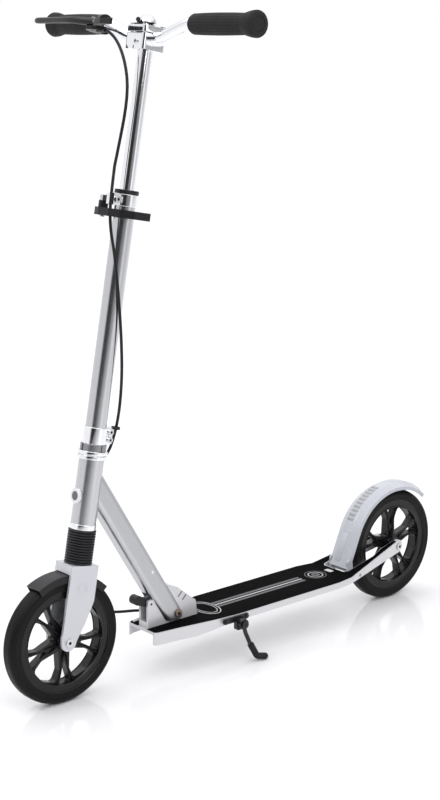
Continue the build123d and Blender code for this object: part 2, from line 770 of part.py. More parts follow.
bolt_places = (-16, 15), (-16, -15), (18, 15), (18, -15)
with BuildPart() as bar_clamp:
    with BuildSketch(steering.offset(clamp_block_bottom)):
        with Locations((2, 0)):
            RectangleRounded(bar_clamp_depth, 2 * bar_clamp_half, 6)
    extrude(amount=clamp_block_top - clamp_block_bottom)
    with BuildSketch(steering_side):
        with Locations((0, middle_height)):
            Circle(bar_radius + seat)
    extrude(amount=2 * bar_clamp_half, both=True, mode=Mode.SUBTRACT)
    with BuildSketch(steering.offset(clamp_block_bottom - 1)):
        Circle(inner_tube_radius + seat)
        with Locations((10, 0)):
            Rectangle(20, 2, align=(Align.MIN, Align.CENTER))
    extrude(amount=6.1, mode=Mode.SUBTRACT)
    with BuildSketch(steering.offset(clamp_block_bottom + 7)):
        with Locations(*bolt_places):
            Circle(bar_screw_radius + seat)
    extrude(amount=30, mode=Mode.SUBTRACT)
finish(bar_clamp, "bar_clamp")

with BuildPart() as bar_cap:
    with BuildSketch(steering.offset(clamp_cap_bottom)):
        with Locations((2, 0)):
            RectangleRounded(bar_clamp_depth, 2 * bar_clamp_half, 6)
        with Locations(*bolt_places):
            Circle(bar_screw_radius + seat, mode=Mode.SUBTRACT)
    extrude(amount=clamp_cap_top - clamp_cap_bottom)
    with BuildSketch(steering_side):
        with Locations((0, middle_height)):
            Circle(bar_radius + seat)
    extrude(amount=2 * bar_clamp_half, both=True, mode=Mode.SUBTRACT)
finish(bar_cap, "bar_cap")

with BuildPart() as cap_bolts:
    with BuildSketch(steering.offset(clamp_block_bottom + 8)):
        with Locations(*bolt_places):
            Circle(bar_screw_radius)
    extrude(amount=clamp_cap_top - clamp_block_bottom - 8 + seat)
    with BuildSketch(steering.offset(clamp_cap_top + seat)):
        with Locations(*bolt_places):
            Circle(4.25)
    extrude(amount=2.4)
finish(cap_bolts, "bar_cap_bolts")


def on_stem(ahead, y, up):
    """A point from its place ahead of the steering axis, its Y and its height along the axis."""
    return (steering_foot + ahead * cos(lean) - up * sin(lean), y, ahead * sin(lean) + up * cos(lean))


# ---------------------------------------------------------------- bell
bell_foot = clamp_cap_top + seat
bell = Plane(origin=on_stem(4, 1, bell_foot), x_dir=steering_ahead, z_dir=steering_up)
dome_radius = (14 ** 2 + 12 ** 2) / (2 * 12)

with BuildPart() as bell_base:
    with BuildSketch(bell):
        Circle(12)
    extrude(amount=2.4)
    with BuildSketch(bell):
        Circle(3)
    extrude(amount=15.4)
finish(bell_base, "bell_base")

with BuildPart() as striker:
    with BuildSketch(bell.offset(2.7)):
        Circle(9)
        Rectangle(8, 29, align=(Align.CENTER, Align.MAX))
        Rectangle(18, 5, align=(Align.MIN, Align.CENTER))
        Circle(3 + running, mode=Mode.SUBTRACT)
    extrude(amount=2.4)
    with Locations(bell * Location((18.1, 0, 7.5))):
        Sphere(3.5)
finish(striker, "bell_striker")

with BuildPart() as dome:
    with BuildSketch(bell.offset(5.4)):
        Circle(14)
    extrude(amount=12)
    with Locations(bell * Location((0, 0, 17.4 - dome_radius))):
        Sphere(dome_radius, mode=Mode.INTERSECT)
        Sphere(dome_radius - 1.3, mode=Mode.SUBTRACT)
finish(dome, "bell_dome")

# ---------------------------------------------------------------- hand brake
blade_bottom = bar_height - 9.3
brake_hub = (36, -92)
with BuildPart() as housing:
    with BuildSketch(steering_side.offset(bar_bend + 10.5)):
        with Locations((0, bar_height)):
            Circle(15.5)
    extrude(amount=9)
    with BuildSketch(steering.offset(blade_bottom - 6)) as arm:
        Polygon((8, -117.4), (8, -108.6), (24, -82), (30, -70), (36, -70), (44, -82), (46, -94), (40, -103),
                (20, -117.4), align=None)
        fillet(arm.vertices().sort_by(Axis.X)[2:], radius=2)
    extrude(amount=5.7)
    with BuildSketch(steering.offset(blade_bottom - 1)) as horn:
        Polygon((30, -76), (44, -76), (57, -60), (62, -40), (60, -16), (56, -16), (54, -38), (48, -56), (38, -68),
                (30, -70), align=None)
        fillet(horn.vertices().sort_by(Axis.X)[1:], radius=1.5)
    extrude(amount=9)
    with BuildSketch(steering_side.offset(64)):
        with Locations((31, blade_bottom - 4.5)):
            Circle(4.2)
    extrude(amount=20)
    with BuildSketch(steering_side):
        with Locations((0, bar_height)):
            Circle(bar_radius + seat)
    extrude(amount=bar_half_width, mode=Mode.SUBTRACT)
    with BuildSketch(steering.offset(blade_bottom - 20)):
        with Locations(brake_hub):
            Circle(3 + running)
    extrude(amount=60, mode=Mode.SUBTRACT)
finish(housing, "brake_housing")

with BuildPart() as brake_lever:
    with BuildSketch(steering.offset(blade_bottom)) as blade:
        Polygon((30, -84), (42, -84), (52, -100), (59, -120), (57, -170), (54.5, -226), (47.5, -226), (50, -170),
                (51.5, -122), (45, -108), (32, -99), align=None)
        fillet(blade.vertices(), radius=3)
    extrude(amount=12)
    with BuildSketch(steering.offset(blade_bottom - 6)):
        with Locations(brake_hub):
            Circle(3)
    extrude(amount=12)
finish(brake_lever, "brake_lever")

# ---------------------------------------------------------------- rear fender
def from_rear_axle(radius, angle):
    """A point of the side plane, from the rear axle."""
    return (radius * cos(radians(angle)) - wheelbase / 2, wheel_radius + radius * sin(radians(angle)))


wall_x, wall_z = from_rear_axle(fender_radius, fender_start)
wall_length = (wall_z - fender_base) / cos(radians(fender_start))
fender_section = Plane(origin=(-wheelbase / 2, 0, wheel_radius),
                       x_dir=(cos(radians(fender_start)), 0, sin(radians(fender_start))),
                       z_dir=(sin(radians(fender_start)), 0, -cos(radians(fender_start))))
fender_inner = fender_radius - fender_wall
fender_side = fender_half_width - fender_wall
fender_shape = [(105, fender_half_width), (111, fender_half_width), (fender_radius, 8), (fender_radius, -8),
                (111, -fender_half_width), (105, -fender_half_width), (105, -fender_side), (109.6, -fender_side),
                (fender_inner, -7.2), (fender_inner, 7.2), (109.6, fender_side), (105, fender_side)]
with BuildPart() as fender:
    with BuildSketch(fender_section):
        Polygon(*fender_shape, align=None)
    revolve(axis=Axis((-wheelbase / 2, 0, wheel_radius), (0, -1, 0)), revolution_arc=fender_end - fender_start)
    with BuildSketch(fender_section.offset(-0.5)):
        Polygon(*fender_shape, align=None)
    extrude(amount=wall_length + 0.5)
    with BuildSketch(Plane.XZ.offset(fender_half_width - 4), Plane.XZ.offset(-fender_half_width)):
        with Locations((fender_pin_x, fender_pin_z)):
            Circle(7)
        with Locations((fender_pin_x + 1, fender_pin_z + 16)):
            Circle(6)
        make_hull()
    extrude(amount=4)
    with BuildSketch(Plane.XZ.offset(fender_half_width - 4)):
        with Locations((fender_pin_x, fender_pin_z)):
            Circle(6)
        with Locations((fender_pin_x, fender_pin_z - 15)):
            Circle(4.5)
        make_hull()
    extrude(amount=4)
    with BuildSketch(Plane.XZ):
        with Locations((fender_pin_x, fender_pin_z)):
            Circle(fender_pin_radius + running)
    extrude(amount=2 * deck_half_width, both=True, mode=Mode.SUBTRACT)
finish(fender, "rear_fender")

with BuildPart() as pad:
    pad_plane = Plane(origin=(-wheelbase / 2, 0, wheel_radius), x_dir=(0.5, 0, sin(radians(60))),
                      z_dir=(sin(radians(60)), 0, -0.5))
    with BuildSketch(pad_plane):
        with Locations((fender_inner - seat, 0)):
            Rectangle(2, 13, align=(Align.MAX, Align.CENTER))
    revolve(axis=Axis((-wheelbase / 2, 0, wheel_radius), (0, -1, 0)), revolution_arc=28)
finish(pad, "brake_pad")

with BuildPart() as fender_pin:
    with BuildSketch(Plane.XZ):
        with Locations((fender_pin_x, fender_pin_z)):
            Circle(fender_pin_radius)
    extrude(amount=47, both=True)
finish(fender_pin, "fender_pin")

axle("rear", -wheelbase / 2, arm_inner, rear_arm_outer)

# ---------------------------------------------------------------- kickstand
block_face = kick_hub_start - gap
with BuildPart() as kick_bracket:
    with BuildSketch(Plane.XZ.offset(-deck_half_width - seat)):
        with Locations((58, 76)):
            RectangleRounded(54, 10, 3)
    extrude(amount=-3.2)
    with BuildSketch(Plane.XZ.offset(-deck_half_width - seat)):
        with Locations((kick_x, kick_z - 1)):
            RectangleRounded(20, 19, 3)
    extrude(amount=deck_half_width + seat - block_face)
    with BuildSketch(Plane.XZ.offset(-deck_half_width + 10)):
        with Locations((kick_x, kick_z)):
            Circle(axle_radius + seat)
    extrude(amount=-40, mode=Mode.SUBTRACT)
    with BuildSketch(Plane.XZ.offset(-deck_half_width - seat - 3)):
        with Locations((35, 76), (80, 76)):
            Circle(3.2)
    extrude(amount=-2)
finish(kick_bracket, "kickstand_bracket")

hub_end = kick_hub_start + kick_hub_width
with BuildPart() as kick_bolt:
    with BuildSketch(Plane.XZ.offset(-deck_half_width - 0.5)):
        with Locations((kick_x, kick_z)):
            Circle(axle_radius)
    extrude(amount=deck_half_width + 0.5 - hub_end - gap)
    with BuildSketch(Plane.XZ.offset(-hub_end - gap)):
        with Locations((kick_x, kick_z)):
            Circle(axle_head_radius)
    extrude(amount=-axle_head_height)
finish(kick_bolt, "kickstand_bolt")

knee = Vector(41, 75, 34)
shin = Vector(-12, 5, -25)
with BuildLine() as leg_path:
    FilletPolyline((kick_x - 1, 70, kick_z - 4), (46, 71, 50), knee, knee + shin * 0.68, radius=7)
with BuildLine() as sleeve_path:
    FilletPolyline(knee + shin * 0.1, knee + shin, (13, 82.5, 5.5), radius=7)
with BuildPart() as leg:
    with BuildSketch(Plane(origin=leg_path.line @ 0, z_dir=leg_path.line % 0)):
        Circle(kick_leg_radius - 0.9)
    sweep(path=leg_path.line)
    with BuildSketch(Plane.XZ.offset(-kick_hub_start)):
        with Locations((kick_x, kick_z)):
            Circle(9)
    extrude(amount=-kick_hub_width)
    with BuildSketch(Plane.XZ.offset(-kick_hub_start + 1)):
        with Locations((kick_x, kick_z)):
            Circle(axle_radius + running)
    extrude(amount=-kick_hub_width - 2, mode=Mode.SUBTRACT)
finish(leg, "kickstand_leg")

with BuildPart() as sleeve:
    with BuildSketch(Plane(origin=sleeve_path.line @ 0, z_dir=sleeve_path.line % 0)):
        Circle(kick_sleeve_radius)
    sweep(path=sleeve_path.line)
    with Locations(Location((13, 82.5, 5.5))):
        Sphere(kick_sleeve_radius)
    with BuildSketch(Plane(origin=knee, z_dir=shin)):
        Circle(kick_leg_radius - 0.9 + seat)
    extrude(amount=0.7 * shin.length, mode=Mode.SUBTRACT)
finish(sleeve, "kickstand_sleeve")


# ---------------------------------------------------------------- brake cable
def cable(label, points, radius):
    """A round cable through the points, with bends as wide as the runs allow."""
    steps = [Vector(*b) - Vector(*a) for a, b in zip(points, points[1:])]
    bends = []
    for before, after in zip(steps, steps[1:]):
        turn = radians(before.get_angle(after))
        bends.append(0.45 * min(before.length, after.length) / tan(turn / 2))
    print(label, [round(bend, 1) for bend in bends])
    with BuildLine() as route:
        FilletPolyline(*points, radius=bends)
    with BuildPart() as piece:
        with BuildSketch(Plane(origin=route.line @ 0, z_dir=route.line % 0)):
            Circle(radius)
        sweep(path=route.line)
    finish(piece, label)


upper_route = [on_stem(*place) for place in (
    (31, -63, 1042), (31, -44, 1035), (31, -22, 1016), (30, -6, 992), (28, 4, 962), (27, 6, 926),
    (28, 3, 880), (31, 2, 840))]
stem_route = [on_stem(*place) for place in (
    (31, 2, 839), (33, 5, 800), (33, 7.5, 772), (29, 10, 742), (17, 13, 706), (6, 19.5, 650), (-8, 21.5, 590),
    (-22, 19, 530), (-32, 12, 480), (-36, 6, 446), (-36, 4.2, 436))]
fold_route = [on_stem(*place) for place in (
    (-36, 4.15, 435.8), (-36, 0, 412), (-33, -7, 394), (-27, -16, 372), (-15, -25, 342), (2, -28, 302))]
fold_route += [(330, -29, 240), (331, -32, 195), (318, -33, 155), (292, -31, 126), (262, -26, 113),
               (232, -22, 108), (206, -21.5, 104), (182, -21.5, 98), (164, -21.5, 88)]
deck_route = [(163.8, -21.5, 87.9), (140, -21.5, 74.4), (94, -20.2, 74.2), (43, -21, 74.3), (-8, -20.2, 74.2),
              (-58, -21, 74.2), (-108, -20.2, 73.6), (-160, -20.8, 71), (-205, -20.5, 66)]
cable("cable_upper", upper_route, cable_radius)
cable("cable_stem", stem_route, cable_radius)
cable("cable_fold", fold_route, cable_radius)
cable("cable_deck", deck_route, cable_radius)
cable("brake_wire", [(-205.4, -20.5, 65.7), (-222, -20.8, 64.8), (fender_pin_x + 6, -21.5, 64)], wire_radius)

with BuildPart() as cable_stop:
    with BuildSketch(Plane.YZ.offset(-206)):
        with Locations((-20.5, deck_top - deck_plate - seat)):
            Rectangle(11, 17, align=(Align.CENTER, Align.MAX))
        with Locations((-20.7, 65.3)):
            Circle(wire_radius + 0.8, mode=Mode.SUBTRACT)
    extrude(amount=-10)
finish(cable_stop, "cable_stop")

clip_start = Vector(*on_stem(-36, 6, 446))
clip_end = Vector(*on_stem(-36, 4.2, 436))
with BuildPart() as clip:
    with BuildSketch(steering.offset(437)):
        with Locations((-18 - 12 - seat, 5)):
            Rectangle(10, 11, align=(Align.MAX, Align.CENTER))
    extrude(amount=5)
    with BuildSketch(Plane(origin=clip_end, z_dir=clip_start - clip_end)):
        Circle(cable_radius + seat)
    extrude(amount=20, both=True, mode=Mode.SUBTRACT)
finish(clip, "cable_clip")
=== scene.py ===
"""Looks of a folding kick scooter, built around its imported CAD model. Sizes are in metres."""

import json
import math

import bmesh
import bpy
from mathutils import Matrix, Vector


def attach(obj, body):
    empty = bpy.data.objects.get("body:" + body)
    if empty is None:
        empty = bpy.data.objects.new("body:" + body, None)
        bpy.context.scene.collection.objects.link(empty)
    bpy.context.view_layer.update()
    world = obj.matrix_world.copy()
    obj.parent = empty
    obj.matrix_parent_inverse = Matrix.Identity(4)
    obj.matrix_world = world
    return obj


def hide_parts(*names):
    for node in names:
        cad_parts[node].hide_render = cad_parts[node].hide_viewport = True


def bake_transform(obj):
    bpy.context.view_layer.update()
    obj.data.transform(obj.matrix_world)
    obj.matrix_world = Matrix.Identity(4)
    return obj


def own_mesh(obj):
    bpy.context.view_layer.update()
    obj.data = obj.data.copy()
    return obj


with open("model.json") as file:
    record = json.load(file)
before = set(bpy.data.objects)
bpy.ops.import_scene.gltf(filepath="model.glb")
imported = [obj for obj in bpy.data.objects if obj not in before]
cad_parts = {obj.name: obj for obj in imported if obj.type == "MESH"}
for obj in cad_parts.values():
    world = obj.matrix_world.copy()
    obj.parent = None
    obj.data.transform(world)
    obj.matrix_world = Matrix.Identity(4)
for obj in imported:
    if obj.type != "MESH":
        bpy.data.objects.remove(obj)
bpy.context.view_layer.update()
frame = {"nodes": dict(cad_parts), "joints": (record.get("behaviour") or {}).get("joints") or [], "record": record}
nodes = frame["nodes"]
joints = {joint["name"]: joint for joint in frame["joints"]}

# ---------------------------------------------------------------- places taken from the frame
MM = 0.001
UP = Vector(joints["steering"]["axis"]).normalized()
AHEAD = Vector((UP.z, 0, -UP.x))
LEFT = Vector((0, 1, 0))
STEERING_POINT = Vector(joints["steering"]["pos_m"])
STEERING_FOOT = STEERING_POINT - UP * (STEERING_POINT.z / UP.z)
FRONT_AXLE = Vector(joints["front_wheel_spin"]["pos_m"])
REAR_AXLE = Vector(joints["rear_wheel_spin"]["pos_m"])
PIVOT = Vector(joints["fold"]["pos_m"])
TAPE_TOP = 82.3 * MM


def on_stem(ahead, y, up):
    """A point from its place ahead of the steering axis, its Y and its height along it, in mm."""
    return STEERING_FOOT + AHEAD * (ahead * MM) + LEFT * (y * MM) + UP * (up * MM)


# ---------------------------------------------------------------- materials
def material(name, color, roughness, metallic=0.0, coat=0.0, specular=0.5):
    """A material with its shader; the looks below add their own grain to it."""
    made = bpy.data.materials.new(name)
    made.use_nodes = True
    shader = made.node_tree.nodes["Principled BSDF"]
    shader.inputs["Base Color"].default_value = (*color, 1)
    shader.inputs["Roughness"].default_value = roughness
    shader.inputs["Metallic"].default_value = metallic
    shader.inputs["Coat Weight"].default_value = coat
    shader.inputs["Coat Roughness"].default_value = 0.12
    shader.inputs["Specular IOR Level"].default_value = specular
    return made


def shader_input(made, name):
    """An input of a material's main shader."""
    return made.node_tree.nodes["Principled BSDF"].inputs[name]


def node(made, kind, **values):
    """A new shader node, with its properties and its inputs' values."""
    added = made.node_tree.nodes.new(kind)
    for key, value in values.items():
        if key in added.inputs:
            added.inputs[key].default_value = value
        else:
            setattr(added, key, value)
    return added


def placed_noise(made, scale, stretch=(1, 1, 1), turn=0.0, detail=4.0):
    """Noise in the object's own place, stretched along an axis that leans by turn about Y."""
    link = made.node_tree.links.new
    place = node(made, "ShaderNodeTexCoord")
    mapping = node(made, "ShaderNodeMapping")
    mapping.inputs["Rotation"].default_value = (0, turn, 0)
    mapping.inputs["Scale"].default_value = stretch
    noise = node(made, "ShaderNodeTexNoise", Scale=scale, Detail=detail)
    link(place.outputs["Object"], mapping.inputs["Vector"])
    link(mapping.outputs["Vector"], noise.inputs["Vector"])
    return noise


def vary_roughness(made, noise, low, high):
    """Roughness that wanders between two values with the noise."""
    ramp = node(made, "ShaderNodeMapRange")
    ramp.inputs["To Min"].default_value = low
    ramp.inputs["To Max"].default_value = high
    ramp.inputs["From Min"].default_value = 0.3
    ramp.inputs["From Max"].default_value = 0.7
    made.node_tree.links.new(noise.outputs["Fac"], ramp.inputs["Value"])
    made.node_tree.links.new(ramp.outputs["Result"], shader_input(made, "Roughness"))


def vary_color(made, noise, first, second):
    """Colour that wanders between two values with the noise."""
    mix = node(made, "ShaderNodeMix", data_type="RGBA")
    mix.inputs["A"].default_value = (*first, 1)
    mix.inputs["B"].default_value = (*second, 1)
    made.node_tree.links.new(noise.outputs["Fac"], mix.inputs["Factor"])
    made.node_tree.links.new(mix.outputs["Result"], shader_input(made, "Base Color"))


def bump(made, height, strength, distance):
    """Fine relief in the shading, from a height."""
    bumped = node(made, "ShaderNodeBump", Strength=strength, Distance=distance)
    made.node_tree.links.new(height, bumped.inputs["Height"])
    made.node_tree.links.new(bumped.outputs["Normal"], shader_input(made, "Normal"))


LEAN = math.atan2(-UP.x, UP.z)


def brushed(name, color, roughness, turn, along=4.0):
    """Metal with fine lines along a leaning tube."""
    made = material(name, color, roughness, metallic=1.0)
    lines = placed_noise(made, 1.0, (2600, 2600, along), turn)
    vary_roughness(made, lines, roughness - 0.03, roughness + 0.04)
    dark = tuple(0.93 * part for part in color)
    vary_color(made, lines, dark, color)
    bump(made, lines.outputs["Fac"], 0.015, 0.0001)
    return made


def painted(name, color, roughness, flake=0.03, coat=0.5):
    """Smooth lacquer over fine metal flake."""
    made = material(name, color, roughness, metallic=0.35, coat=coat)
    flakes = placed_noise(made, 2600, detail=2)
    darker = tuple(max(0, part - flake) for part in color)
    lighter = tuple(part + flake for part in color)
    vary_color(made, flakes, darker, lighter)
    soft = placed_noise(made, 90)
    vary_roughness(made, soft, roughness - 0.04, roughness + 0.05)
    bump(made, flakes.outputs["Fac"], 0.03, 0.0001)
    return made


def moulded(name, color, roughness, grain=900, depth=0.12, coat=0.0, specular=0.3):
    """Moulded plastic or rubber with a fine grain."""
    made = material(name, color, roughness, coat=coat, specular=specular)
    fine = placed_noise(made, grain, detail=6)
    soft = placed_noise(made, 45)
    vary_roughness(made, soft, roughness - 0.07, roughness + 0.07)
    darker = tuple(0.8 * part for part in color)
    lighter = tuple(1.25 * part for part in color)
    vary_color(made, fine, darker, lighter)
    bump(made, fine.outputs["Fac"], depth, 0.0003)
    return made


def chromed(name, color, roughness):
    """Plated metal, a little uneven."""
    made = material(name, color, roughness, metallic=1.0)
    soft = placed_noise(made, 60)
    vary_roughness(made, soft, roughness - 0.015, roughness + 0.02)
    return made


def gritty(name):
    """Black grip tape: grains that catch the light."""
    made = material(name, (0.002, 0.002, 0.002), 0.9, specular=0.02)
    place = node(made, "ShaderNodeTexCoord")
    grains = node(made, "ShaderNodeTexVoronoi", Scale=1500.0)
    made.node_tree.links.new(place.outputs["Object"], grains.inputs["Vector"])
    soft = placed_noise(made, 500)
    vary_color(made, soft, (0.0005, 0.0005, 0.0005), (0.004, 0.004, 0.0045))
    vary_roughness(made, soft, 0.62, 0.9)
    bump(made, grains.outputs["Distance"], 0.5, 0.0005)
    return made


TUBE_LEAN = math.radians(31.2)
LOOKS = {
    "anodised": brushed("anodised", (0.52, 0.525, 0.535), 0.2, -LEAN),
    "bare_steel": brushed("bare_steel", (0.3, 0.3, 0.31), 0.33, 0),
    "bright_steel": chromed("bright_steel", (0.62, 0.62, 0.63), 0.16),
    "chromed": chromed("chromed", (0.86, 0.865, 0.885), 0.08),
    "dark_paint": painted("dark_paint", (0.008, 0.008, 0.009), 0.36, flake=0.004, coat=0.15),
    "silver_paint": painted("silver_paint", (0.56, 0.57, 0.6), 0.33),
    "black_plastic": moulded("black_plastic", (0.007, 0.007, 0.008), 0.36),
    "rim_plastic": moulded("rim_plastic", (0.005, 0.005, 0.0055), 0.28, depth=0.07),
    "fender_plastic": moulded("fender_plastic", (0.43, 0.44, 0.48), 0.3, depth=0.04, coat=0.3,
                              specular=0.5),
    "grip_rubber": moulded("grip_rubber", (0.012, 0.012, 0.012), 0.7, depth=0.25, specular=0.25),
    "boot_rubber": moulded("boot_rubber", (0.006, 0.006, 0.007), 0.36),
    "tyre": moulded("tyre", (0.005, 0.0045, 0.0045), 0.48, grain=1200, specular=0.15),
    "grip_tape": gritty("grip_tape"),
}
TUBE_METAL = brushed("head_metal", (0.58, 0.585, 0.6), 0.17, -LEAN)
DOWN_TUBE_METAL = brushed("down_tube_metal", (0.5, 0.505, 0.515), 0.3, TUBE_LEAN)
DECK_METAL = painted("deck_metal", (0.62, 0.62, 0.635), 0.38)
STRIPE_GREY = moulded("stripe_grey", (0.1, 0.1, 0.103), 0.6, grain=1500, depth=0.3)
STRIPE_WHITE = moulded("stripe_white", (0.5, 0.5, 0.5), 0.6, grain=1500, depth=0.3)
WHITE_PAINT = painted("white_paint", (0.72, 0.72, 0.73), 0.3, flake=0.01)
MARK_GREY = moulded("mark_grey", (0.12, 0.12, 0.13), 0.45)
RIB_PLASTIC = moulded("rib_plastic", (0.33, 0.335, 0.34), 0.5, depth=0.1)
# near-black: painted shade in the deep hex sockets of bolt heads, and the real black of the bearing seals
SOCKET_SHADE_AND_SEAL_BLACK = moulded("socket_shade_and_seal_black", (0.004, 0.004, 0.004), 0.6)
BRONZE = chromed("bronze", (0.24, 0.19, 0.15), 0.28)


# ---------------------------------------------------------------- CAD pieces
def soften(piece, width, segments=2):
    """Rounded edges for a CAD piece, by modifiers alone."""
    weld = piece.modifiers.new("weld", "WELD")
    weld.merge_threshold = 2e-6
    bevel = piece.modifiers.new("bevel", "BEVEL")
    bevel.width = width * MM
    bevel.segments = segments
    bevel.limit_method = "ANGLE"
    bevel.angle_limit = math.radians(32)
    bevel.harden_normals = True
    normals = piece.modifiers.new("normals", "WEIGHTED_NORMAL")
    normals.keep_sharp = False
    normals.weight = 60


slot_of = {part["node"]: part["material_slot"] for part in frame["record"]["subparts"]}
OWN_LOOK = {
    "head_tube": TUBE_METAL, "outer_tube": TUBE_METAL, "down_tube": DOWN_TUBE_METAL,
    "deck": DECK_METAL, "folding_bracket": DECK_METAL, "head_badge": WHITE_PAINT,
    "pivot_bolt": BRONZE, "kickstand_bolt": LOOKS["dark_paint"],
}
# the rounding of each piece's edges, in mm
SOFT_EDGE = {
    "fork": 1.6, "rear_fender": 0.8, "bar_clamp": 1.6, "bar_cap": 1.6, "brake_lever": 1.5,
    "brake_housing": 1.4, "clamp_lever": 1.6, "deck": 0.5, "folding_bracket": 0.6,
    "front_rim": 0.9, "rear_rim": 0.9, "front_mudguard": 0.6, "stem_clamp": 0.8,
    "height_collar": 0.9, "collar_cap": 1.2, "headset_cups": 0.7, "headset_cone": 1.0,
    "headset_locknut": 0.6, "down_tube": 0.5, "head_badge": 0.6, "kickstand_bracket": 0.6,
    "release_lever": 1.2, "bell_base": 0.6, "bell_striker": 0.7, "cable_clip": 0.8,
}
BOLT_EDGE = 0.7
for name, piece in nodes.items():
    piece.data.materials.clear()
    piece.data.materials.append(OWN_LOOK.get(name, LOOKS[slot_of[name]]))
    if name in SOFT_EDGE:
        soften(piece, SOFT_EDGE[name])
for name in ("front_axle", "rear_axle", "pivot_bolt", "kickstand_bolt", "stem_clamp_bolts",
             "bar_cap_bolts", "clamp_skewer"):
    soften(nodes[name], BOLT_EDGE)


# ---------------------------------------------------------------- mesh makers
def mesh_object(name, vertices, faces, look, sharp=35):
    """A new mesh piece from its points and faces, smooth but for edges sharper than an angle."""
    mesh = bpy.data.meshes.new(name)
    mesh.from_pydata([tuple(point) for point in vertices], [], faces)
    mesh.validate()
    work = bmesh.new()
    work.from_mesh(mesh)
    bmesh.ops.recalc_face_normals(work, faces=work.faces)
    work.to_mesh(mesh)
    work.free()
    mesh.polygons.foreach_set("use_smooth", [True] * len(mesh.polygons))
    mesh.set_sharp_from_angle(angle=math.radians(sharp))
    mesh.materials.append(look)
    made = bpy.data.objects.new(name, mesh)
    bpy.context.scene.collection.objects.link(made)
    return made


def lathe(name, profile, origin, axis, look, count=96, sharp=35, wave=None):
    """A closed ring of (radius, height) points in mm about an axis; wave changes a radius."""
    axis = Vector(axis).normalized()
    side = axis.orthogonal().normalized()
    other = axis.cross(side)
    vertices, faces = [], []
    rows = len(profile)
    for index in range(count):
        angle = 2 * math.pi * index / count
        for radius, height in profile:
            turned = radius + (wave(angle, height) if wave else 0)
            spoke = side * math.cos(angle) + other * math.sin(angle)
            vertices.append(origin + spoke * (turned * MM) + axis * (height * MM))
    for index in range(count):
        following = (index + 1) % count
        for row in range(rows):
            over = (row + 1) % rows
            faces.append((index * rows + row, following * rows + row,
                          following * rows + over, index * rows + over))
    return mesh_object(name, vertices, faces, look, sharp)


def disc_profile(outer, bottom, top, round_edge=0.3, inner=0.05):
    """The profile of a flat round piece, with a rounded rim."""
    return [(inner, bottom), (outer - round_edge, bottom), (outer, bottom + round_edge * 0.6),
            (outer, top - round_edge), (outer - round_edge, top), (inner, top)]


def keep(piece, body):
    """A piece carried by a body."""
    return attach(piece, body)


def hex_socket_shade(name, place, axis, across, body):
    """A thin dark hexagon on a bolt's head: painted shade where its six-sided socket is deep."""
    axis = Vector(axis).normalized()
    side = axis.orthogonal().normalized()
    other = axis.cross(side)
    corners = [side * math.cos(math.radians(60 * step)) + other * math.sin(math.radians(60 * step))
               for step in range(6)]
    vertices = [place + corner * (across * MM) - axis * (0.5 * MM) for corner in corners]
    vertices += [place + corner * (across * MM) + axis * (0.06 * MM) for corner in corners]
    faces = [tuple(range(5, -1, -1)), tuple(range(6, 12))]
    faces += [(step, (step + 1) % 6, (step + 1) % 6 + 6, step + 6) for step in range(6)]
    return keep(mesh_object(name, vertices, faces, SOCKET_SHADE_AND_SEAL_BLACK), body)


# ---------------------------------------------------------------- grips
GRIP_RADIUS = 15.8
GRIP_FLANGE = 19.4
BAR_RADIUS = 11.15
BAR_HEIGHT = 1056
GRIP_END = 247
RIB_PITCH = 3.2
FLARE_START = 0.84
SWELL_END = 0.86


def grip(side, inboard):
    """A ribbed rubber grip that swells towards its wide outer end."""
    length = GRIP_END - inboard
    outward = LEFT if side == "left" else -LEFT
    middle = on_stem(0, 0, BAR_HEIGHT)
    outer = []
    ribs = int(length / RIB_PITCH)
    for step in range(ribs * 4 + 1):
        share = step / (ribs * 4)
        swell = 0.9 * math.sin(math.pi * min(1, share / SWELL_END)) - 0.6
        flare = 0
        if share >= FLARE_START:
            flare = (GRIP_FLANGE - GRIP_RADIUS) * math.sin((share - FLARE_START) / 0.16 * math.pi / 2)
        rib = 0.28 * abs(math.sin(math.pi * ribs * share)) if 0.08 < share < FLARE_START else 0
        start = -1.6 * max(0, 1 - share / 0.025)
        radius = GRIP_RADIUS + swell * (share < SWELL_END) + flare - rib + start
        outer.append((radius, share * (length - 4)))
    profile = [(BAR_RADIUS, 0)] + outer
    profile += [(GRIP_FLANGE - 0.8, length - 2), (GRIP_FLANGE - 3, length - 0.6), (BAR_RADIUS, length)]
    profile = [(min(radius, GRIP_FLANGE), height) for radius, height in profile]

    def flutes(angle, height):
        """Shallow grooves along the grip's middle."""
        in_middle = 0.1 < height / length < 0.8
        return 0.22 * math.cos(24 * angle) if in_middle else 0

    made = lathe(f"{side}_grip", profile, middle + outward * (inboard * MM), outward,
                 LOOKS["grip_rubber"], count=192, sharp=60, wave=flutes)
    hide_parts("grips")
    keep(made, "t_bar")
    cap = lathe(f"{side}_grip_end", disc_profile(BAR_RADIUS + 0.3, 0, 2.4, 0.8),
                middle + outward * ((GRIP_END - 2.6) * MM), outward, LOOKS["grip_rubber"])
    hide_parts("grips")
    keep(cap, "t_bar")


grip("left", 106)
grip("right", 118)

# ---------------------------------------------------------------- brake lever
LEVER_MIDDLE = 1052.7
# stations along the lever: (ahead, y, half width, half height) in mm
LEVER_RUN = [(37, -89, 6.2, 5.9), (41, -95, 6.0, 5.9), (47, -103, 4.9, 5.7), (52, -112, 4.0, 5.4),
             (55, -123, 3.7, 5.1), (55.2, -140, 3.6, 4.9), (54, -165, 3.5, 4.8), (52.6, -190, 3.5, 4.8),
             (51.4, -212, 3.6, 4.9), (51.1, -220, 3.4, 4.6), (51, -224.5, 2.2, 3.0),
             (51, -226, 0.8, 1.2)]


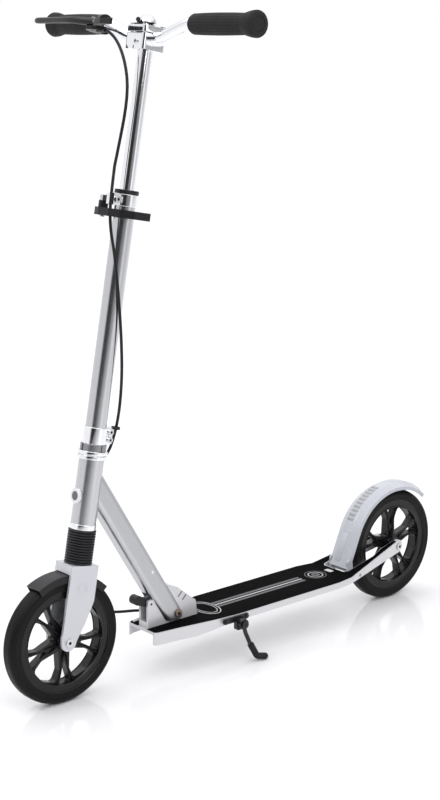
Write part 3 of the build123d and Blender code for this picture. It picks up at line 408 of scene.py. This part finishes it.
def rounded_blade(name, run, middle, look, count=20):
    """A blade of oval section through (ahead, y, half width, half height) stations."""
    vertices, faces = [], []
    rows = len(run)
    for row, (ahead, y, half, tall) in enumerate(run):
        before = run[max(0, row - 1)]
        after = run[min(rows - 1, row + 1)]
        along = Vector((after[0] - before[0], after[1] - before[1])).normalized()
        for step in range(count):
            angle = 2 * math.pi * step / count
            sideways = half * math.copysign(abs(math.cos(angle)) ** 0.75, math.cos(angle))
            rise = tall * math.copysign(abs(math.sin(angle)) ** 0.75, math.sin(angle))
            vertices.append(on_stem(ahead - along.y * sideways, y + along.x * sideways, middle + rise))
    for row in range(rows - 1):
        for step in range(count):
            over = (step + 1) % count
            low = row * count
            faces.append((low + step, low + over, low + count + over, low + count + step))
    faces.append(tuple(range(count - 1, -1, -1)))
    faces.append(tuple((rows - 1) * count + step for step in range(count)))
    return mesh_object(name, vertices, faces, look, 50)


blade = rounded_blade("brake_blade", LEVER_RUN, LEVER_MIDDLE, LOOKS["dark_paint"])
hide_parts("brake_lever")
keep(blade, "brake_lever")
pivot_pin = lathe("brake_pivot", disc_profile(3.4, -8.5, 8.0, 0.6), on_stem(36, -92, LEVER_MIDDLE), UP,
                  LOOKS["bare_steel"], count=48)
keep(pivot_pin, "t_bar")

# ---------------------------------------------------------------- fork boot and elastomer
BOOT_BOTTOM = 224.0
BOOT_LENGTH = 54.5
BOOT_RIBS = 13
boot_profile = [(18.7, BOOT_LENGTH), (18.7, 0), (20.6, 0)]
for step in range(BOOT_RIBS * 8 + 1):
    height = BOOT_LENGTH * step / (BOOT_RIBS * 8)
    crest = abs(math.sin(math.pi * step / 8)) ** 0.7
    boot_profile.append((20.3 + 2.0 * crest, height))
boot = lathe("boot", boot_profile, on_stem(0, 0, BOOT_BOTTOM), UP, LOOKS["boot_rubber"], sharp=80)
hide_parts("fork_boot")
keep(boot, "stem")
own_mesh(boot)

ELASTOMER_BOTTOM = 304.0
ELASTOMER_LENGTH = 25.1
elastomer = lathe("elastomer", disc_profile(10.9, 0, ELASTOMER_LENGTH, 1.0, inner=4),
                  on_stem(0, 0, ELASTOMER_BOTTOM), UP, LOOKS["boot_rubber"])
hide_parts("fork_elastomer")
keep(elastomer, "stem")
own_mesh(elastomer)


# ---------------------------------------------------------------- wheels
# each ring's place across the wheel: (radius, distance from the middle plane) in mm
RIM_LIP = [(82.2, 11.6), (82.2, 12.9), (83.0, 13.5), (84.2, 13.5), (84.9, 12.9), (84.9, 11.6)]
RIM_STEP = [(70.6, 11.4), (70.6, 12.4), (71.4, 12.9), (73.6, 12.2), (73.6, 11.4)]
TYRE_SHOULDER = [(93.2, 13.2), (93.2, 14.25), (93.9, 14.5), (94.7, 14.25), (94.7, 13.2)]
BEARING_SEAL = [(7.4, 14.9), (7.4, 15.15), (9.6, 15.2), (10.3, 15.05), (10.3, 14.9)]


def wheel_trim(side, axle, body):
    """Lips on the rim, a shoulder line on the tyre and seals on the bearings."""
    for face, sign in (("left", 1), ("right", -1)):
        out = LEFT * sign
        for label, ring, look, count, slot in (
                ("rim_lip", RIM_LIP, LOOKS["rim_plastic"], 160, "rim_plastic"),
                ("rim_step", RIM_STEP, LOOKS["rim_plastic"], 160, "rim_plastic"),
                ("tyre_line", TYRE_SHOULDER, LOOKS["tyre"], 160, "tyre"),
                ("seal", BEARING_SEAL, SOCKET_SHADE_AND_SEAL_BLACK, 64, "black_plastic")):
            keep(lathe(f"{side}_{label}_{face}", ring, axle, out, look, count=count), body)


SPOKE_PAIRS = 5
SPOKE_FACE = 7.0
# stations along a spoke: (radius, swing in degrees, keel height, half width)
SPOKE_LINE = [(17, 3.0, 4.6, 1.6), (24, 6.4, 3.6, 2.0), (32, 8.8, 2.6, 2.3), (42, 8.2, 2.0, 2.4),
              (52, 9.0, 2.0, 2.4), (62, 10.8, 2.6, 2.6), (70, 12.0, 4.3, 3.0)]


def spoke_ridges(side, axle, turn, body):
    """A raised keel along both faces of each spoke, highest at the hub and at the rim."""
    section = len(SPOKE_LINE)
    vertices, faces = [], []
    for pair in range(SPOKE_PAIRS):
        middle = turn + (pair + 0.5) * 360 / SPOKE_PAIRS
        for way in (1, -1):
            for face in (1, -1):
                first = len(vertices)
                for radius, swing, height, half in SPOKE_LINE:
                    angle = math.radians(middle + way * swing)
                    out = Vector((math.cos(angle), 0, math.sin(angle)))
                    across = Vector((-math.sin(angle), 0, math.cos(angle)))
                    for sideways, rise in ((-half, -0.8), (-0.35, height), (0.35, height), (half, -0.8)):
                        vertices.append(axle + (out * radius + across * sideways
                                                + LEFT * (face * (SPOKE_FACE + rise))) * MM)
                for row in range(section - 1):
                    for column in range(4):
                        over = (column + 1) % 4
                        low = first + row * 4
                        faces.append((low + column, low + over, low + 4 + over, low + 4 + column))
                faces.append(tuple(first + column for column in range(4)))
                faces.append(tuple(first + (section - 1) * 4 + column for column in (3, 2, 1, 0)))
    made = mesh_object(f"{side}_spoke_ridges", vertices, faces, LOOKS["rim_plastic"], 40)
    keep(made, body)


wheel_trim("front", FRONT_AXLE, "front_wheel")
wheel_trim("rear", REAR_AXLE, "rear_wheel")
spoke_ridges("front", FRONT_AXLE, 18, "front_wheel")
spoke_ridges("rear", REAR_AXLE, 54, "rear_wheel")

# ---------------------------------------------------------------- bolt heads
for sign, face in ((1, "left"), (-1, "right")):
    hex_socket_shade(f"front_axle_socket_{face}", FRONT_AXLE + LEFT * (sign * 24.4 * MM),
               LEFT * sign, 2.9, "fork")
    hex_socket_shade(f"rear_axle_socket_{face}", REAR_AXLE + LEFT * (sign * 31.36 * MM),
               LEFT * sign, 2.9, "deck")
hex_socket_shade("pivot_socket", PIVOT + LEFT * (20.1 * MM), LEFT, 3.2, "deck")
hex_socket_shade("kickstand_socket", Vector((51, 76.8, 68)) * MM, LEFT, 3.0, "deck")
for index, (ahead, y) in enumerate(((-16, 15), (-16, -15), (18, 15), (18, -15))):
    hex_socket_shade(f"cap_socket_{index}", on_stem(ahead, y, 1054.5), UP, 2.1, "t_bar")
for index, height in enumerate((420.5, 433.0)):
    hex_socket_shade(f"stem_socket_{index}", on_stem(-24.5, 10.1, height), LEFT, 2.2, "stem")
hex_socket_shade("skewer_socket", on_stem(24.5, 14.1, 790.25), LEFT, 2.4, "stem")
keep(lathe("pinch_bolt", disc_profile(4.2, -1.5, 2.2, 0.7), on_stem(24, 5.5, 1027), AHEAD,
           LOOKS["bright_steel"]), "t_bar")
hex_socket_shade("pinch_socket", on_stem(26.2, 5.5, 1027), AHEAD, 2.1, "t_bar")
for sign, face in ((1, "left"), (-1, "right")):
    keep(lathe(f"tube_rivet_{face}", disc_profile(3.0, -0.6, 0.9, 0.6),
               Vector((0.2, sign * 0.017, 0.178)), LEFT * sign, WHITE_PAINT, count=48),
         "frame")


# ---------------------------------------------------------------- flat graphics on the deck
def strip(name, x0, x1, y0, y1, look, lift=0.12, round_end=0.0):
    """A printed strip on the tape, with rounded ends where they are wanted."""
    points = []
    radius = round_end
    if radius:
        for corner_x, start in ((x1 - radius, -90), (x0 + radius, 90)):
            for step in range(13):
                angle = math.radians(start + 15 * step)
                points.append((corner_x + radius * math.cos(angle),
                               (y0 + y1) / 2 + radius * math.sin(angle)))
    else:
        points = [(x0, y0), (x1, y0), (x1, y1), (x0, y1)]
    return slab(name, points, look, lift)


def slab(name, points, look, lift):
    """A thin flat piece on the tape, from its outline."""
    count = len(points)
    top = TAPE_TOP + lift * MM
    vertices = [(x * MM, y * MM, TAPE_TOP - 0.05 * MM) for x, y in points]
    vertices += [(x * MM, y * MM, top) for x, y in points]
    faces = [tuple(range(count - 1, -1, -1)), tuple(range(count, 2 * count))]
    faces += [(step, (step + 1) % count, (step + 1) % count + count, step + count)
              for step in range(count)]
    return keep(mesh_object(name, vertices, faces, look), "deck")


def oval_ring(name, x, y, outer_x, outer_y, width, look, lift=0.14):
    """A flat oval ring on the tape."""
    count = 72
    vertices, faces = [], []
    for step in range(count):
        angle = 2 * math.pi * step / count
        for shrink, height in ((0, -0.05), (0, lift), (width, lift), (width, -0.05)):
            vertices.append(((x + (outer_x - shrink) * math.cos(angle)) * MM,
                             (y + (outer_y - shrink) * math.sin(angle)) * MM, TAPE_TOP + height * MM))
    for step in range(count):
        following = (step + 1) % count
        for row in range(4):
            over = (row + 1) % 4
            faces.append((step * 4 + row, following * 4 + row,
                          following * 4 + over, step * 4 + over))
    return keep(mesh_object(name, vertices, faces, look), "deck")


strip("stripe_left", -150, 52, 5.5, 11.5, STRIPE_GREY)
strip("stripe_middle", -150, 52, -1.5, 1.5, STRIPE_WHITE)
strip("stripe_right", -150, 52, -11.5, -5.5, STRIPE_GREY)
oval_ring("round_outer", -184, 0, 20, 20, 1.6, STRIPE_GREY)
oval_ring("round_middle", -184, 0, 14, 14, 1.6, STRIPE_WHITE)
oval_ring("round_inner", -184, 0, 8, 8, 5.5, STRIPE_GREY)
oval_ring("oval_outer", 74, 0, 21, 33, 1.5, STRIPE_WHITE)
oval_ring("oval_inner", 74, 0, 15.5, 26, 1.2, STRIPE_WHITE)
strip("tail_bar", -223, -213, -8, 8, STRIPE_WHITE)

# ---------------------------------------------------------------- marks on the fork and head tube
for sign, face in ((1, "left"), (-1, "right")):
    for label, radius in (("outer", 9.5), ("inner", 6.0)):
        ring = [(radius - 1.0, -0.3), (radius - 1.0, 0.2), (radius - 0.5, 0.42), (radius, 0.2),
                (radius, -0.3)]
        keep(lathe(f"fork_mark_{label}_{face}", ring, on_stem(1, sign * 21.5, 188), LEFT * sign,
                   LOOKS["silver_paint"], count=72), "fork")
keep(lathe("badge_centre", disc_profile(7.2, -0.6, 0.35, 0.2), on_stem(23, 0, 331), AHEAD,
           MARK_GREY, count=72), "frame")

# ---------------------------------------------------------------- rear fender
FENDER_CROWN = 119
RIB_START = 34
RIB_STEP = 4.2
RIB_COUNT = 10
RIB_LENGTH = 5.6
PANEL_LENGTH = 52
BLOCK_HALF_WIDTH = 7.4
WALL_ANGLE = 23
WALL_DROP = 30


def fender_axes(angle):
    """The directions out of and along the fender at an angle from the rear axle, in degrees."""
    spin = math.radians(angle)
    return Vector((math.cos(spin), 0, math.sin(spin))), Vector((-math.sin(spin), 0, math.cos(spin)))


def raised_block(name, middle, out, along, length, half_width, levels, look):
    """A block on the fender from (height, how far its edges draw in) levels."""
    vertices = []
    for height, shrink in levels:
        for y_sign, a_sign in ((-1, -1), (1, -1), (1, 1), (-1, 1)):
            vertices.append(middle + out * (height * MM) + LEFT * (y_sign * (half_width - shrink) * MM)
                            + along * (a_sign * (length / 2 - shrink) * MM))
    faces = [(3, 2, 1, 0), (8, 9, 10, 11)]
    for level in (0, 4):
        faces += [(level + step, level + (step + 1) % 4, level + (step + 1) % 4 + 4, level + step + 4)
                  for step in range(4)]
    return keep(mesh_object(name, vertices, faces, look, 50), "rear_fender")


for index in range(RIB_COUNT):
    rib_out, rib_along = fender_axes(RIB_START + RIB_STEP * index)
    raised_block(f"step_rib_{index}", REAR_AXLE + rib_out * (FENDER_CROWN * MM), rib_out, rib_along,
                 RIB_LENGTH, BLOCK_HALF_WIDTH, ((-0.6, 0), (0.65, 0), (1.3, 0.8)), RIB_PLASTIC)
wall_out, wall_along = fender_axes(WALL_ANGLE)
wall_middle = REAR_AXLE + wall_out * (FENDER_CROWN * MM) - wall_along * (WALL_DROP * MM)
raised_block("wall_panel", wall_middle, wall_out, wall_along, PANEL_LENGTH, BLOCK_HALF_WIDTH,
             ((-0.5, 0), (0.6, 0), (1.2, 1.0)), LOOKS["fender_plastic"])


# ---------------------------------------------------------------- brake cable
def spline_mesh(name, points, radius, look):
    """A smooth round cable through its route's control points, as a mesh."""
    curve = bpy.data.curves.new(name, "CURVE")
    curve.dimensions = "3D"
    curve.bevel_depth = radius * MM
    curve.bevel_resolution = 5
    curve.use_fill_caps = True
    curve.resolution_u = 10
    spline = curve.splines.new("NURBS")
    spline.points.add(len(points) - 1)
    for point, place in zip(spline.points, points):
        point.co = (*place, 1)
    spline.order_u = 3
    spline.use_endpoint_u = True
    shaped = bpy.data.objects.new(name + "_route", curve)
    bpy.context.scene.collection.objects.link(shaped)
    bpy.context.view_layer.update()
    depsgraph = bpy.context.evaluated_depsgraph_get()
    mesh = bpy.data.meshes.new_from_object(shaped.evaluated_get(depsgraph))
    bpy.data.objects.remove(shaped)
    mesh.name = name
    mesh.materials.clear()
    mesh.materials.append(look)
    mesh.polygons.foreach_set("use_smooth", [True] * len(mesh.polygons))
    made = bpy.data.objects.new(name, mesh)
    bpy.context.scene.collection.objects.link(made)
    return made


CABLE_RADIUS = 2.4
WIRE_RADIUS = 0.8
upper_route = [on_stem(*place) for place in (
    (31, -63, 1042), (31, -44, 1035), (31, -22, 1016), (30, -6, 992), (28, 4, 962), (27, 6, 926),
    (28, 3, 880), (31, 2, 839.4))]
stem_route = [on_stem(*place) for place in (
    (31, 2, 839.4), (33, 5, 800), (33, 7.5, 772), (29, 10, 742), (17, 13, 706), (6, 19.5, 650),
    (-8, 21.5, 590), (-22, 19, 530), (-32, 12, 480), (-36, 6, 446), (-36, 4.17, 435.9))]
fold_route = [on_stem(*place) for place in (
    (-36, 4.17, 435.9), (-36, 0, 412), (-33, -7, 394), (-27, -16, 372), (-15, -25, 342), (2, -28, 302))]
fold_route += [Vector(place) * MM for place in (
    (330, -29, 240), (331, -32, 195), (318, -33, 155), (292, -31, 126), (262, -26, 113), (232, -22, 108),
    (206, -21.5, 104), (182, -21.5, 98), (164, -21.5, 88))]
deck_route = [Vector(place) * MM for place in (
    (163.8, -21.5, 87.9), (140, -21.5, 74.4), (94, -20.2, 74.2), (43, -21, 74.3), (-8, -20.2, 74.2),
    (-58, -21, 74.2), (-108, -20.2, 73.6), (-160, -20.8, 71), (-205, -20.5, 66))]
wire_route = [Vector(place) * MM for place in (
    (-205.4, -20.5, 65.7), (-222, -20.8, 64.8), (-243, -21.5, 64))]
# the fold stretch is cut in the middle of a run, where the two splines meet in line
cut = (fold_route[6] + fold_route[7]) / 2
cable_look = LOOKS["black_plastic"]

upper = spline_mesh("cable_upper_run", upper_route, CABLE_RADIUS, cable_look)
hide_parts("cable_upper")
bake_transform(upper)
stem_run = spline_mesh("cable_stem_run", stem_route, CABLE_RADIUS, cable_look)
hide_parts("cable_stem")
keep(stem_run, "stem")
head_run = spline_mesh("cable_head_run", fold_route[:7] + [cut], CABLE_RADIUS, cable_look)
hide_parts("cable_fold")
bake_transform(head_run)
foot_run = spline_mesh("cable_foot_run", [cut] + fold_route[7:], CABLE_RADIUS, cable_look)
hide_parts("cable_fold")
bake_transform(foot_run)
deck_run = spline_mesh("cable_deck_run", deck_route, CABLE_RADIUS, cable_look)
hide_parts("cable_deck")
keep(deck_run, "deck")
wire_run = spline_mesh("brake_wire_run", wire_route, WIRE_RADIUS, LOOKS["bare_steel"])
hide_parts("brake_wire")
keep(wire_run, "rear_fender")

# ---------------------------------------------------------------- floor, light and camera
FLOOR_RADIUS = 60
bpy.ops.mesh.primitive_circle_add(vertices=96, radius=FLOOR_RADIUS, fill_type="NGON",
                                  location=(0, 0, -0.0002))
floor = bpy.context.object
floor.name = "floor"
floor_look = material("floor_look", (0.8, 0.8, 0.8), 0.1, specular=0.5)
floor.data.materials.append(floor_look)


def area_light(name, place, target, size, power):
    """A soft square light that faces a point."""
    lamp = bpy.data.lights.new(name, "AREA")
    lamp.size = size
    lamp.energy = power
    made = bpy.data.objects.new(name, lamp)
    made.location = place
    made.rotation_euler = (Vector(target) - Vector(place)).to_track_quat("-Z", "Y").to_euler()
    bpy.context.scene.collection.objects.link(made)


area_light("key", (0.6, 3.2, 2.2), (0, 0, 0.4), 1.6, 26)
area_light("front", (2.6, -0.4, 3.4), (0.2, 0, 0.5), 1.2, 20)

# the studio around the object: its brightness by compass angle near the horizon, and by height
AROUND = [(0, 1.0), (6, 0.9), (18, 0.03), (55, 0.03), (64, 0.2), (92, 0.3), (100, 1.0), (114, 1.0),
          (124, 0.42), (150, 0.5), (172, 1.0), (270, 1.0), (359, 1.0)]
ABOVE = [(0, 0.35), (0.5, 0.35), (0.57, 0.2), (0.66, 0.55), (0.78, 1.5), (1, 1.7)]


def studio_node(kind, **values):
    """A new node of the studio's world, with its properties."""
    added = world.node_tree.nodes.new(kind)
    for key, value in values.items():
        setattr(added, key, value)
    return added


def studio_ramp(stops, source):
    """A grey ramp through the stops."""
    ramp = studio_node("ShaderNodeValToRGB")
    points = ramp.color_ramp.elements
    for place, level in stops[1:-1]:
        points.new(place)
    for point, (place, level) in zip(points, stops):
        point.position = place
        point.color = (level, level, 1.02 * level, 1)
    links.new(source, ramp.inputs["Fac"])
    return ramp.outputs["Color"]


world = bpy.data.worlds.new("studio")
bpy.context.scene.world = world
world.use_nodes = True
links = world.node_tree.links
background = world.node_tree.nodes["Background"]
direction = studio_node("ShaderNodeTexCoord")
parts = studio_node("ShaderNodeSeparateXYZ")
links.new(direction.outputs["Generated"], parts.inputs["Vector"])
compass = studio_node("ShaderNodeMath", operation="ARCTAN2")
links.new(parts.outputs["Y"], compass.inputs[0])
links.new(parts.outputs["X"], compass.inputs[1])
turned = studio_node("ShaderNodeMath", operation="DIVIDE")
links.new(compass.outputs["Value"], turned.inputs[0])
turned.inputs[1].default_value = 2 * math.pi
whole = studio_node("ShaderNodeMath", operation="FLOORED_MODULO")
links.new(turned.outputs["Value"], whole.inputs[0])
whole.inputs[1].default_value = 1.0
around = studio_ramp([(angle / 360, level) for angle, level in AROUND], whole.outputs["Value"])
height = studio_node("ShaderNodeMapRange")
height.inputs["From Min"].default_value = -1
links.new(parts.outputs["Z"], height.inputs["Value"])
above = studio_ramp(ABOVE, height.outputs["Result"])
share = studio_node("ShaderNodeMapRange", interpolation_type="SMOOTHSTEP")
share.inputs["From Min"].default_value = 0.2
share.inputs["From Max"].default_value = 0.45
links.new(parts.outputs["Z"], share.inputs["Value"])
mix = studio_node("ShaderNodeMix", data_type="RGBA")
links.new(share.outputs["Result"], mix.inputs["Factor"])
links.new(around, mix.inputs["A"])
links.new(above, mix.inputs["B"])
links.new(mix.outputs["Result"], background.inputs["Color"])
background.inputs["Strength"].default_value = 1.0

LENS = 72.27
CAMERA_PLACE = (1.7292, 1.9464, 1.0310)
CAMERA_AHEAD = (-0.63835, -0.73615, -0.22492)
camera_data = bpy.data.cameras.new("camera")
camera_data.lens = LENS
camera_data.sensor_width = 36
camera_data.sensor_fit = "AUTO"
camera_data.dof.use_dof = False
camera = bpy.data.objects.new("camera", camera_data)
camera.location = CAMERA_PLACE
camera.rotation_euler = Vector(CAMERA_AHEAD).to_track_quat("-Z", "Y").to_euler()
bpy.context.scene.collection.objects.link(camera)
bpy.context.scene.camera = camera
bpy.context.scene.view_settings.view_transform = "Standard"
